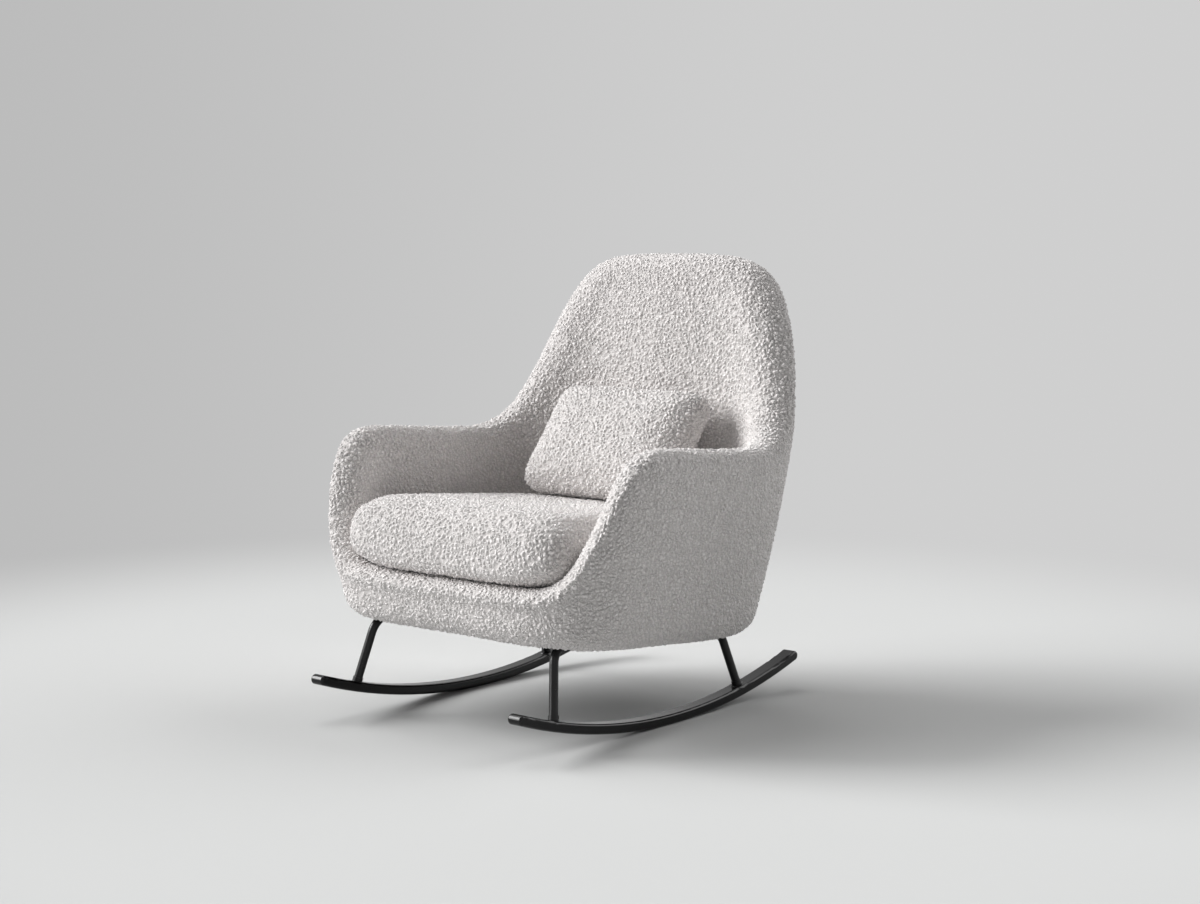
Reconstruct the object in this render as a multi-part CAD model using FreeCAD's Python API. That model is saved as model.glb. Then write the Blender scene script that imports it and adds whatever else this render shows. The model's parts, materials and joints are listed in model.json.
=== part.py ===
import FreeCAD, Part
import math
import os

os.makedirs("parts", exist_ok=True)

Vector = FreeCAD.Vector
X_AXIS = Vector(1, 0, 0)
Y_AXIS = Vector(0, 1, 0)
Z_AXIS = Vector(0, 0, 1)

# Frame: millimetres, +Z up, the sitter faces -Y, the floor is Z = 0 and the origin lies on it under
# the middle of the runners. The tub and what it holds are drawn level on the tub's own sole and
# then leaned back and set on the base.

# Runners
runner_length = 908.0
runner_radius = 1450.0
runner_contact = 25.0
runner_spacing = 544.0
runner_width = 35.0
runner_thickness = 21.0
runner_edge_round = 5.0

# Base tubes, feet and cross bars
tube_diameter = 18.0
tube_wall = 2.0
tube_bend = 42.0
front_leg_y = -342.0
rear_leg_y = 252.0
top_run_half_spacing = 244.0
front_bend_y = -265.0
rear_bend_y = 268.0
foot_length = 44.0
foot_width = 27.0
foot_corner = 9.0
foot_plate = 3.5
foot_collar_height = 5.0
foot_collar_wall = 1.4
foot_seat_gap = 0.2
foot_pocket_gap = 0.3
socket_clearance = 0.15
cross_bar_width = 40.0
cross_bar_thickness = 8.0

# Tub placement
tub_lean = 5.0
tub_offset_y = -45.0
tub_sole_height = 172.0

# Tub form: plan sizes about the tub's own axis, heights above its sole
widest_half_width = 443.0
widest_height = 609.0
sole_half_width = 354.0
front_reach = 383.0
front_belly_height = 228.0
sole_front_reach = 298.0
back_reach = 380.0
back_lean = 2.9
front_squareness = 4.7
back_squareness = 3.5
rail_height = 119.0
arm_height = 400.0
back_height = 813.0
arm_front_angle = 51.1
arm_front_softness = 2.9
wing_angle = 134.1
wing_softness = 5.2
front_wall = 68.0
front_wall_angle = 62.0
front_wall_blend = 5.0
arm_wall = 84.0
back_wall = 110.0
wall_blend = 12.0
deck_drop = 2.0
sole_round = 74.0
sole_inset = 106.0
rim_fullness = 0.48
rim_swell = 1.08
rim_lift = 1.06
rise_limit = 0.8
deck_shares = (0.6, 0.85, 1.0)
inner_wall_shares = (0.12, 0.4, 0.7, 1.0)
rim_turns = (150, 120, 90, 60, 30)
outer_wall_shares = (1.0, 0.67, 0.33, 0.0)
sole_curve = ((0.08, 0.42), (0.38, 0.08), (0.85, 0.0), (1.4, 0.0))
station_count = 72
skin_panels = 8

# Upholstery layers and the well that the seat frame fills
cover_thickness = 3.0
layer_gap = 1.0
well_half_width = 262.0
well_front = 245.0
well_back = 215.0
recess_half_width = 264.0
recess_front = 279.0
recess_back = 284.0
recess_corner = 30.0
recess_depth = 22.0
fit_gap = 0.3
seat_gap = 0.9

# Seat frame, springs and deck
rail_board = 22.0
seat_frame_height = 70.0
corner_block_size = 70.0
corner_block_height = 50.0
corner_block_chamfer = 23.0
spring_count = 5
spring_spacing = 96.0
spring_wire = 3.8
spring_half_width = 38.0
spring_loops = 7
clip_sheet = 1.5
clip_width = 16.0
deck_pad_round = 4.0
dust_cover_thickness = 1.5
dust_cover_gap = 1.0

# Inner steel frame
hoop_diameter = 18.0
hoop_wall = 2.0
hoop_bend = 42.0
hoop_foot_height = 57.0
hoop_foot_inset = 45.0
hoop_route = ((69.0, 345.0), (107.0, 350.0), (121.0, 368.0), (137.0, 560.0), (153.0, 735.0), (172.0, 755.0))
post_x = 140.0
post_bend = 40.0
tunnel_gap = 0.4
pin_diameter = 6.0
pin_length = 46.0

# Fasteners
bolt_diameter = 8.0
bolt_head_diameter = 15.0
bolt_head_height = 5.0
bolt_socket_depth = 3.0
washer_diameter = 22.0
washer_thickness = 1.6
spacer_diameter = 30.0
hole_gap = 0.4
tee_nut_flange = 22.0
tee_nut_flange_thickness = 1.6
tee_nut_barrel = 11.0
tee_nut_length = 12.0
screw_diameter = 5.0
screw_head_diameter = 9.6
screw_head_height = 4.6
screw_sunk = 0.5
screw_spacing = 30.0

# Loose cushions
cushion_stations = 64
under_turns = (90, 62, 36, 12)
top_turns = (8, 26, 46, 64, 80)
crown_shares = (1.0, 1.2)
pillow_turns = (-90, -84, -68, -50, -32, -12, 12, 32, 50, 68, 84, 90)
seat_cushion_half_width = 305.0
seat_cushion_front = 350.0
seat_cushion_back = 272.0
seat_cushion_front_squareness = 9.2
seat_cushion_under_squareness = 4.2
seat_cushion_back_squareness = 3.4
seat_cushion_under_rise = 60.0
seat_cushion_under_round = 40.0
seat_cushion_under_front_round = 31.0
seat_cushion_top_rise = 86.0
seat_cushion_top_round = 125.0
seat_cushion_squareness = 3.3
pillow_width = 414.0
pillow_height = 286.0
pillow_thickness = 128.0
pillow_corner_squareness = 9.0
pillow_round = 112.0
pillow_squareness = 2.2
pillow_draw_in = 0.02
pillow_lean = 33.0
pillow_y = 186.0
pillow_z = 389.1

# Values that follow from the sizes above
tube_radius = tube_diameter / 2
dust_cover_bottom = recess_depth - dust_cover_thickness
top_run_z = dust_cover_bottom - fit_gap - tube_radius
deck_height = rail_height - deck_drop
arc_centre = Vector(0, runner_contact, runner_radius)
floor_under_foot = runner_thickness - foot_plate
frame_half_width = well_half_width - fit_gap
frame_front = -well_front + fit_gap
frame_back = well_back - fit_gap
block_x = frame_half_width - rail_board - corner_block_size / 2
block_front_y = frame_front + rail_board + corner_block_size / 2
block_back_y = frame_back - rail_board - corner_block_size / 2
bolt_places = [(side * block_x, y) for side in (-1, 1) for y in (block_front_y, block_back_y)]
frame_top = recess_depth + seat_frame_height
block_top = recess_depth + corner_block_height
spring_z = frame_top + clip_sheet + spring_wire / 2 + fit_gap


def tub_placement():
    lean = FreeCAD.Rotation(X_AXIS, -tub_lean)
    return FreeCAD.Placement(Vector(0, tub_offset_y, tub_sole_height), lean)


def placed(shape):
    result = shape.copy()
    result.Placement = tub_placement().multiply(result.Placement)
    return result


def box(x_min, x_max, y_min, y_max, z_min, z_max):
    return Part.makeBox(x_max - x_min, y_max - y_min, z_max - z_min, Vector(x_min, y_min, z_min))


def rod(diameter, length, base, direction=Z_AXIS):
    return Part.makeCylinder(diameter / 2, length, base, direction)


def fuse_all(shapes):
    return shapes[0].multiFuse(shapes[1:]).removeSplitter()


def bent_path(points, bend):
    """Straight runs through the points, joined by tangent arcs of one radius."""
    edges = []
    start = points[0]
    for before, corner, after in zip(points, points[1:], points[2:]):
        back = (before - corner).normalize()
        ahead = (after - corner).normalize()
        half_angle = back.getAngle(ahead) / 2
        reach = bend / math.tan(half_angle)
        middle = (back + ahead).normalize()
        arc_start = corner + back * reach
        arc_end = corner + ahead * reach
        arc_mid = corner + middle * (bend / math.sin(half_angle) - bend)
        edges.append(Part.LineSegment(start, arc_start).toShape())
        edges.append(Part.Arc(arc_start, arc_mid, arc_end).toShape())
        start = arc_end
    edges.append(Part.LineSegment(start, points[-1]).toShape())
    return Part.Wire(edges)


def pipe(path, diameter):
    first = path.Edges[0]
    direction = first.tangentAt(first.FirstParameter)
    circle = Part.Circle(first.valueAt(first.FirstParameter), direction, diameter / 2)
    solid = path.makePipeShell([Part.Wire(circle.toShape())], True, False)
    if solid.Volume < 0:
        solid.reverse()
    return solid


def bent_tube(points, diameter, wall, bend):
    path = bent_path(points, bend)
    return pipe(path, diameter).cut(pipe(path, diameter - 2 * wall))


def step(value):
    """Smooth step from 0 to 1, half way at 0."""
    return 1 / (1 + math.exp(-value))


def outer_radius(angle, height):
    """Distance from the tub's axis to its outside; angle 0 is the front, 180 the back."""
    across = abs(math.sin(math.radians(angle)))
    along = math.cos(math.radians(angle))
    flare = ((widest_height - height) / widest_height) ** 2
    half_width = widest_half_width - (widest_half_width - sole_half_width) * flare
    if along > 0:
        belly = ((front_belly_height - height) / front_belly_height) ** 2
        reach = front_reach - (front_reach - sole_front_reach) * belly
        power = front_squareness
    else:
        reach = back_reach + height * math.tan(math.radians(back_lean))
        power = back_squareness
    return ((across / half_width) ** power + (abs(along) / reach) ** power) ** (-1 / power)


def wall_thickness(angle):
    arm = front_wall + (arm_wall - front_wall) * step((angle - front_wall_angle) / front_wall_blend)
    return arm + (back_wall - arm_wall) * step((angle - wing_angle) / wall_blend)


def rim_height(angle):
    arm_rise = step((angle - arm_front_angle) / arm_front_softness)
    wing_rise = step((angle - wing_angle) / wing_softness)
    return rail_height + (arm_height - rail_height) * arm_rise + (back_height - arm_height) * wing_rise


def rim_steepness(angle):
    """Length of the rim per unit of its plan length, which stretches the round over a steep rim."""
    probe = 0.5
    climb = rim_height(angle + probe) - rim_height(angle - probe)
    run = math.radians(2 * probe) * outer_radius(angle, rim_height(angle))
    return math.hypot(1, climb / run)


def tub_section(angle, inset):
    """Poles of the tub's wall at one angle, from the deck up, over the rim and down to the sole."""
    wall = wall_thickness(angle)
    steep = rim_steepness(angle)
    half = wall / 2 - inset
    crest = rim_height(angle) - inset * steep
    deck = deck_height - inset
    inner_rise = min(half * steep, (crest - deck) * rise_limit)
    outer_rise = min(half * steep ** rim_fullness, (crest - sole_round) * rise_limit)
    middle = outer_radius(angle, rim_height(angle)) - wall / 2
    deck_edge = outer_radius(angle, deck_height) - wall + inset
    poles = [(deck_edge * share, deck) for share in deck_shares]
    for share in inner_wall_shares:
        height = deck + (crest - inner_rise - deck) * share
        poles.append((outer_radius(angle, height) - wall + inset, height))
    for turn in rim_turns:
        rise = inner_rise if turn > 90 else outer_rise
        reach = half * rim_swell * math.cos(math.radians(turn))
        lift = rise * (rim_lift * math.sin(math.radians(turn)) - 1)
        poles.append((middle + reach, crest + lift))
    for share in outer_wall_shares:
        height = sole_round + (crest - outer_rise - sole_round) * share
        poles.append((outer_radius(angle, height) - inset, height))
    side = outer_radius(angle, sole_round) - inset
    for share, rise in sole_curve:
        poles.append((side - share * sole_inset, rise * sole_round + inset))
    poles.append((deck_edge * deck_shares[0], inset))
    return poles


def skinned(net, levels):
    """Solid with a smooth skin over a ring of pole rows, closed by flat caps at the two levels."""
    count = len(net)
    around = list(range(count + 1))
    up = list(range(len(net[0]) - 2))
    up_counts = [4] + [1] * (len(up) - 2) + [4]
    skin = Part.BSplineSurface()
    skin.buildFromPolesMultsKnots(net, [1] * len(around), up_counts, around, up, True, False, 3, 3)
    skin.setUNotPeriodic()
    panels = []
    for first in range(0, count, count // skin_panels):
        panel = skin.copy()
        panel.segment(first, first + count // skin_panels, 0, up[-1])
        panels.append(panel.toShape())
    caps = []
    for level in levels:
        edges = []
        for panel in panels:
            edges += [e for e in panel.Edges if e.BoundBox.ZLength < 0.01
                      and abs(e.BoundBox.ZMin - level) < 0.01]
        caps.append(Part.Face(Part.Wire(edges)))
    sewn = Part.makeCompound(panels + caps)
    sewn.sewShape()
    solid = Part.Solid(sewn.Shells[0])
    if solid.Volume < 0:
        solid.reverse()
    return solid


def tub_solid(inset):
    """The tub's closed form, drawn in all over by the inset."""
    net = []
    for station in range(-1, station_count - 1):
        angle = station * 360.0 / station_count
        folded = abs(angle) if angle <= 180 else 360 - angle
        across = math.sin(math.radians(angle))
        along = -math.cos(math.radians(angle))
        net.append([Vector(r * across, r * along, z) for r, z in tub_section(folded, inset)])
    return skinned(net, (deck_height - inset, inset))


def wall_middle(angle, height):
    """Point in the middle of the tub's wall on the +X side."""
    r = outer_radius(angle, height) - wall_thickness(angle) / 2
    return Vector(r * math.sin(math.radians(angle)), -r * math.cos(math.radians(angle)), height)


def mirrored(point):
    return Vector(-point.x, point.y, point.z)


def hoop_points():
    right = [wall_middle(angle, height) for angle, height in hoop_route]
    corner = Vector(right[0].x - hoop_foot_inset, right[0].y, hoop_foot_height)
    foot = Vector(frame_half_width - rail_board, right[0].y, hoop_foot_height)
    right = [foot, corner] + right
    return right + [mirrored(p) for p in reversed(right)]


def post_points(side):
    last = wall_middle(*hoop_route[-1])
    before = wall_middle(*hoop_route[-2])
    share = (before.x - post_x) / (before.x - last.x)
    top = before + (last - before) * share
    low = wall_middle(180 - math.degrees(math.asin(post_x / back_reach)), hoop_foot_height)
    return [Vector(side * post_x, frame_back - rail_board, hoop_foot_height),
            Vector(side * post_x, low.y, hoop_foot_height), Vector(side * post_x, top.y, top.z)]


def pin_places():
    hoop_y = hoop_points()[0].y
    board_middle = frame_half_width - rail_board / 2
    places = [(side * board_middle, hoop_y) for side in (-1, 1)]
    return places + [(side * post_x, frame_back - rail_board / 2) for side in (-1, 1)]


def pins(diameter, length):
    base = hoop_foot_height - length / 2
    return [rod(diameter, length, Vector(x, y, base)) for x, y in pin_places()]


def steel_frame():
    drill = pins(pin_diameter + hole_gap, pin_length + 1)
    hoop_path = bent_path(hoop_points(), hoop_bend)
    hoop_outside = pipe(hoop_path, hoop_diameter)
    hoop = hoop_outside.cut(pipe(hoop_path, hoop_diameter - 2 * hoop_wall)).cut(drill)
    frame = {"arm_and_back_hoop": hoop}
    for name, side in (("left", -1), ("right", 1)):
        tube = bent_tube(post_points(side), hoop_diameter, hoop_wall, post_bend)
        frame["back_post_" + name] = tube.cut([hoop_outside] + drill)
    return frame


def tunnels():
    """Room in the foam and the boards for the steel frame."""
    bore = hoop_diameter + 2 * tunnel_gap
    routes = [pipe(bent_path(hoop_points(), hoop_bend), bore)]
    routes += [pipe(bent_path(post_points(side), post_bend), bore) for side in (-1, 1)]
    return routes


def recess(margin, bottom):
    """Hollow in the sole for the base's top runs and cross bars."""
    half = recess_half_width - margin
    block = box(-half, half, -recess_front + margin, recess_back - margin, bottom, recess_depth)
    uprights = [e for e in block.Edges if e.BoundBox.ZLength > e.BoundBox.XLength + e.BoundBox.YLength]
    return block.makeFillet(recess_corner - margin, uprights)


def hollows():
    """The well for the seat frame and the recess under it."""
    well = box(-well_half_width, well_half_width, -well_front, well_back, 0, deck_height + sole_round)
    return [well, recess(0, -sole_round)]


def tub_cover():
    return tub_solid(0).cut([tub_solid(cover_thickness)] + hollows())


def tub_foam():
    body = tub_solid(cover_thickness + layer_gap).cut(hollows() + tunnels())
    span = widest_half_width + arm_wall
    bottom = -sole_round
    top = back_height + sole_round
    reach = back_reach + back_height
    blocks = {
        "foam_arm_left": box(-span, -well_half_width, -reach, reach, bottom, top),
        "foam_arm_right": box(well_half_width, span, -reach, reach, bottom, top),
        "foam_front_rail": box(-well_half_width, well_half_width, -reach, 0, bottom, top),
        "foam_back": box(-well_half_width, well_half_width, 0, reach, bottom, top),
    }
    return {name: body.common(block) for name, block in blocks.items()}


def seat_frame():
    low = recess_depth
    inside = frame_half_width - rail_board
    boards = {
        "seat_rail_front": box(-inside, inside, frame_front, frame_front + rail_board, low, frame_top),
        "seat_rail_back": box(-inside, inside, frame_back - rail_board, frame_back, low, frame_top),
        "seat_rail_left": box(-frame_half_width, -inside, frame_front, frame_back, low, frame_top),
        "seat_rail_right": box(inside, frame_half_width, frame_front, frame_back, low, frame_top),
    }
    openings = tunnels() + pins(pin_diameter + hole_gap, pin_length + 1)
    return {name: board.cut(openings) for name, board in boards.items()}


def corner_blocks():
    blocks = []
    half = corner_block_size / 2
    for x, y in bolt_places:
        block = box(x - half, x + half, y - half, y + half, recess_depth, block_top)
        inner_edge = [e for e in block.Edges
                      if abs(e.CenterOfMass.x) < block_x and abs(e.CenterOfMass.y) < abs(y)
                      and abs(e.CenterOfMass.z - (recess_depth + block_top) / 2) < 1]
        block = block.makeChamfer(corner_block_chamfer, inner_edge)
        bore = rod(bolt_diameter + 2 * hole_gap, corner_block_height, Vector(x, y, recess_depth))
        nut_base = block_top - tee_nut_length
        nut_bore = rod(tee_nut_barrel + 2 * hole_gap, tee_nut_length, Vector(x, y, nut_base))
        blocks.append(block.cut([bore, nut_bore]))
    return Part.makeCompound(blocks)


def tee_nuts():
    nuts = []
    for x, y in bolt_places:
        flange = rod(tee_nut_flange, tee_nut_flange_thickness, Vector(x, y, block_top))
        barrel_base = Vector(x, y, block_top - tee_nut_length + fit_gap)
        barrel = rod(tee_nut_barrel, tee_nut_length - fit_gap, barrel_base)
        bore = rod(bolt_diameter + hole_gap, 2 * tee_nut_length, barrel_base)
        nuts.append(flange.fuse(barrel).removeSplitter().cut(bore))
    return Part.makeCompound(nuts)


def spring_path(x):
    """Sinuous wire from the front board to the back board: cross bars joined by half turns."""
    first = frame_front + rail_board / 2
    last = frame_back - rail_board / 2
    pitch = (last - first) / spring_loops
    turn = pitch / 2
    reach = spring_half_width - turn
    edges = []
    for loop in range(spring_loops):
        y = first + loop * pitch
        side = 1 if loop % 2 else -1
        start = Vector(x - side * reach, y, spring_z)
        bend = Vector(x + side * reach, y, spring_z)
        outer = bend + Vector(side * turn, turn, 0)
        end = bend + Vector(0, pitch, 0)
        part = turn * math.sqrt(0.5)
        edges.append(Part.LineSegment(start, bend).toShape())
        edges.append(Part.Arc(bend, bend + Vector(side * part, turn - part, 0), outer).toShape())
        edges.append(Part.Arc(outer, bend + Vector(side * part, turn + part, 0), end).toShape())
    side = 1 if spring_loops % 2 else -1
    start = Vector(x - side * reach, last, spring_z)
    edges.append(Part.LineSegment(start, Vector(x + side * reach, last, spring_z)).toShape())
    return Part.Wire(edges)


def spring_places():
    middle = (spring_count - 1) / 2
    return [(index - middle) * spring_spacing for index in range(spring_count)]


def seat_springs():
    return Part.makeCompound([pipe(spring_path(x), spring_wire) for x in spring_places()])


def spring_clips():
    """A folded clip under, outside and over each end bar of a spring."""
    clips = []
    room = spring_wire / 2 + fit_gap
    for end_y, outward in ((frame_front + rail_board / 2, -1), (frame_back - rail_board / 2, 1)):
        for x in spring_places():
            fold = outward * (room + clip_sheet)
            tongue = -outward * rail_board / 3
            bottom = frame_top
            low = spring_z - room
            high = spring_z + room
            outline = [(tongue, bottom), (fold, bottom), (fold, high + clip_sheet),
                       (tongue / 2, high + clip_sheet), (tongue / 2, high),
                       (outward * room, high), (outward * room, low), (tongue, low)]
            points = [Vector(x - clip_width / 2, end_y + y, z) for y, z in outline]
            face = Part.Face(Part.makePolygon(points + points[:1]))
            clips.append(face.extrude(Vector(clip_width, 0, 0)))
    return Part.makeCompound(clips)


def deck_pad():
    bottom = spring_z + spring_wire / 2 + clip_sheet + 2 * fit_gap
    half = well_half_width - fit_gap
    pad = box(-half, half, -well_front + fit_gap, well_back - fit_gap, bottom, deck_height)
    top_edges = [e for e in pad.Edges if e.BoundBox.ZMin > deck_height - 0.1]
    return pad.makeFillet(deck_pad_round, top_edges)


def dust_cover():
    sheet = recess(dust_cover_gap, dust_cover_bottom)
    holes = [rod(bolt_diameter + 2 * hole_gap, dust_cover_thickness, Vector(x, y, dust_cover_bottom))
             for x, y in bolt_places]
    return sheet.cut(holes)


def cross_bar(y):
    reach = top_run_half_spacing
    half = cross_bar_thickness / 2
    bar = box(-reach, reach, y - cross_bar_width / 2, y + cross_bar_width / 2,
              top_run_z - half, top_run_z + half)
    length = 2 * cross_bar_width
    tubes = [rod(tube_diameter, length, Vector(side * reach, y - length / 2, top_run_z), Y_AXIS)
             for side in (-1, 1)]
    holes = [rod(bolt_diameter + 2 * hole_gap, 2 * cross_bar_thickness,
                 Vector(side * block_x, y, top_run_z - cross_bar_thickness)) for side in (-1, 1)]
    return bar.cut(tubes + holes)


def mount_spacers():
    base = top_run_z + cross_bar_thickness / 2
    height = dust_cover_bottom - base
    spacers = []
    for x, y in bolt_places:
        ring = rod(spacer_diameter, height, Vector(x, y, base))
        spacers.append(ring.cut(rod(bolt_diameter + 2 * hole_gap, height, Vector(x, y, base))))
    return Part.makeCompound(spacers)


def base_bolts():
    bar_bottom = top_run_z - cross_bar_thickness / 2
    bolts = []
    for x, y in bolt_places:
        washer = rod(washer_diameter, washer_thickness, Vector(x, y, bar_bottom - washer_thickness))
        head_base = bar_bottom - washer_thickness - bolt_head_height
        head = rod(bolt_head_diameter, bolt_head_height, Vector(x, y, head_base))
        rim = [e for e in head.Edges if e.BoundBox.ZMax < head_base + 0.1]
        head = head.makeFillet(bolt_head_height / 3, rim)
        shank = rod(bolt_diameter, block_top - head_base, Vector(x, y, head_base))
        socket = Part.Face(Part.makePolygon([
            Vector(x + 2.9 * math.cos(math.radians(a)), y + 2.9 * math.sin(math.radians(a)), head_base)
            for a in range(0, 420, 60)])).extrude(Vector(0, 0, bolt_socket_depth))
        bolts.append(fuse_all([washer, head, shank]).cut(socket))
    return Part.makeCompound(bolts)


def arc_point(y, radius):
    """Point on the runner's arc of the given radius, in the YZ plane."""
    drop = math.sqrt(radius ** 2 - (y - runner_contact) ** 2)
    return Vector(0, y, runner_radius - drop)


def foot_place(side, y):
    """Centre of the pocket that takes a foot's plate in the runner's top, with the runner's normal there."""
    point = arc_point(y, runner_radius - floor_under_foot)
    normal = (arc_centre - point).normalize()
    return point + Vector(side * runner_spacing / 2, 0, 0), normal


def top_corners(side):
    place = tub_placement()
    corners = []
    for y in (front_bend_y, rear_bend_y):
        corners.append(place.multVec(Vector(side * top_run_half_spacing, y, top_run_z)))
    return corners


def leg_feet(side):
    """Front and rear foot of one side: place, runner normal and leg direction."""
    legs = []
    for y, corner in zip((front_leg_y, rear_leg_y), top_corners(side)):
        point, normal = foot_place(side, y)
        legs.append((point, normal, (corner - point).normalize()))
    return legs


def leg_end(point, normal, direction):
    return point + direction * (foot_seat_gap + foot_plate + tube_radius / 2)


def side_frame(side):
    front, rear = [leg_end(*leg) for leg in leg_feet(side)]
    front_top, rear_top = top_corners(side)
    return bent_tube([front, front_top, rear_top, rear], tube_diameter, tube_wall, tube_bend)


def screw_places(point, normal):
    along = normal.cross(X_AXIS).normalize()
    return [point + along * (end * screw_spacing / 2) for end in (-1, 1)]


def foot_block(base, normal, height, margin):
    """Upright block of a foot plate's outline, grown by the margin."""
    half_width = foot_width / 2 + margin
    half_length = foot_length / 2 + margin
    block = box(-half_width, half_width, -half_length, half_length, 0, height)
    uprights = [e for e in block.Edges if e.BoundBox.ZLength > height / 2]
    block = block.makeFillet(foot_corner + margin, uprights)
    block.Placement = FreeCAD.Placement(base, FreeCAD.Rotation(Z_AXIS, normal))
    return block


def leg_foot(point, normal, direction):
    plate = foot_block(point + normal * foot_seat_gap, normal, foot_plate, 0)
    bore_diameter = tube_diameter + 2 * socket_clearance
    collar_diameter = bore_diameter + 2 * foot_collar_wall
    top = leg_end(point, normal, direction) + direction * foot_collar_height
    collar = rod(collar_diameter, 2 * foot_collar_height, top - direction * 2 * foot_collar_height,
                 direction)
    below = Part.makeCylinder(foot_length, foot_length, point + normal * (foot_seat_gap + foot_plate / 2),
                              normal * -1)
    bore = rod(bore_diameter, 2 * foot_collar_height, leg_end(point, normal, direction), direction)
    holes = [rod(screw_diameter, 4 * foot_plate, place - normal * foot_plate, normal)
             for place in screw_places(point, normal)]
    return plate.fuse(collar.cut(below)).removeSplitter().cut([bore] + holes)


def screw_solid(place, normal, gap):
    """Countersunk screw, or with a gap the hole that it goes through."""
    bottom = place - normal * (floor_under_foot - screw_sunk)
    radius = screw_diameter / 2 + gap
    cone = Part.makeCone(screw_head_diameter / 2 + gap, radius, screw_head_height, bottom, normal)
    shank = rod(2 * radius, floor_under_foot + foot_plate - screw_sunk, bottom, normal)
    return cone.fuse(shank).removeSplitter()


def screw_hole(place, normal):
    mouth = rod(screw_head_diameter + 2 * hole_gap, runner_thickness,
                place - normal * (floor_under_foot + runner_thickness - screw_sunk), normal)
    return screw_solid(place, normal, hole_gap).fuse(mouth)


def runner_screws():
    screws = []
    for side in (-1, 1):
        for point, normal, direction in leg_feet(side):
            screws += [screw_solid(place, normal, 0) for place in screw_places(point, normal)]
    return Part.makeCompound(screws)


def runner(side):
    half = runner_thickness / 2
    middle_radius = runner_radius - half
    reach = runner_length / 2 - half
    ends = [arc_point(y, middle_radius) for y in (-reach, reach)]
    normals = [(arc_centre - end).normalize() for end in ends]
    tips = [Vector(0, sign, 0) for sign in (-1, 1)]
    low = [end - normal * half for end, normal in zip(ends, normals)]
    high = [end + normal * half for end, normal in zip(ends, normals)]
    outward = [normal.cross(X_AXIS) * half for normal in normals]
    nose = [end + out * (1 if out.dot(tip) > 0 else -1) for end, out, tip in zip(ends, outward, tips)]
    slant = math.sqrt(0.5)
    edges = [Part.Arc(low[0], arc_point(runner_contact, runner_radius), low[1]).toShape()]
    edges += nose_arcs(ends[1], low[1], nose[1], high[1], slant)
    top_middle = arc_point(runner_contact, runner_radius - runner_thickness)
    edges.append(Part.Arc(high[1], top_middle, high[0]).toShape())
    edges += nose_arcs(ends[0], high[0], nose[0], low[0], slant)
    face = Part.Face(Part.Wire(edges))
    start = side * runner_spacing / 2 - runner_width / 2
    face.translate(Vector(start, 0, 0))
    bar = face.extrude(Vector(runner_width, 0, 0))
    sides = [f for f in bar.Faces if f.BoundBox.XMax - f.BoundBox.XMin < 0.1]
    bar = bar.makeFillet(runner_edge_round, sides[0].Edges + sides[1].Edges)
    holes = []
    for point, normal, direction in leg_feet(side):
        holes += [screw_hole(place, normal) for place in screw_places(point, normal)]
        holes.append(foot_block(point, normal, runner_thickness, foot_pocket_gap))
    return bar.cut(holes)


def nose_arcs(centre, start, nose, end, slant):
    """Half round at a runner's end, as two quarter turns."""
    before = centre + ((start - centre) + (nose - centre)) * slant
    after = centre + ((nose - centre) + (end - centre)) * slant
    return [Part.Arc(start, before, nose).toShape(), Part.Arc(nose, after, end).toShape()]


def round_over(turn, squareness):
    """Share drawn in and share risen along a quarter round at the given turn, 0 at the side."""
    power = 2 / squareness
    return 1 - math.cos(math.radians(turn)) ** power, math.sin(math.radians(turn)) ** power


def soft_ring(half_width, front, back, squareness, back_squareness):
    """Poles of a rounded outline, close together in its corners, from the front towards +X."""
    ring = []
    for station in range(-1, cushion_stations - 1):
        angle = math.radians(station * 360.0 / cushion_stations)
        across = math.sin(angle)
        along = math.cos(angle)
        power = 2 / (squareness if along > 0 else back_squareness)
        x = math.copysign(abs(across) ** power, across) * half_width
        y = -front * along ** power if along > 0 else back * abs(along) ** power
        ring.append((x, y))
    return ring


def soft_solid(rings):
    """Solid over rings of poles at rising heights, with flat caps in the first and the last."""
    net = []
    for station in range(cushion_stations):
        net.append([Vector(ring[station][0], ring[station][1], height) for ring, height in rings])
    return skinned(net, (rings[0][1], rings[-1][1]))


def seat_cushion_levels():
    """Draw-in at the sides and at the front, height and front squareness of each ring, upwards."""
    under_corner = seat_cushion_under_squareness
    top_corner = seat_cushion_front_squareness
    top = seat_cushion_top_round
    levels = [(top, top, -seat_cushion_under_rise, under_corner)]
    for turn in under_turns:
        drawn, risen = round_over(turn, 2)
        corner = top_corner + (under_corner - top_corner) * risen
        levels.append((drawn * seat_cushion_under_round, drawn * seat_cushion_under_front_round,
                       -risen * seat_cushion_under_rise, corner))
    for turn in top_turns:
        drawn, risen = round_over(turn, seat_cushion_squareness)
        levels.append((drawn * top, drawn * top, risen * seat_cushion_top_rise, top_corner))
    for share in crown_shares:
        levels.append((share * top, share * top, seat_cushion_top_rise, top_corner))
    return levels


def seat_cushion_solid(inset):
    """Crowned cushion: its rings draw in more and more towards the underside and the crown."""
    thickness = seat_cushion_under_rise + seat_cushion_top_rise
    shrink = 1 - 2 * inset / thickness
    middle = deck_height + seat_gap + thickness / 2
    centre = seat_cushion_under_rise - thickness / 2
    rings = []
    for draw_in, front_draw_in, rise, corner in seat_cushion_levels():
        reach = draw_in + inset
        ring = soft_ring(seat_cushion_half_width - reach, seat_cushion_front - front_draw_in - inset,
                         seat_cushion_back - reach, corner, seat_cushion_back_squareness)
        rings.append((ring, middle + (centre + rise) * shrink))
    return soft_solid(rings)


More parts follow.
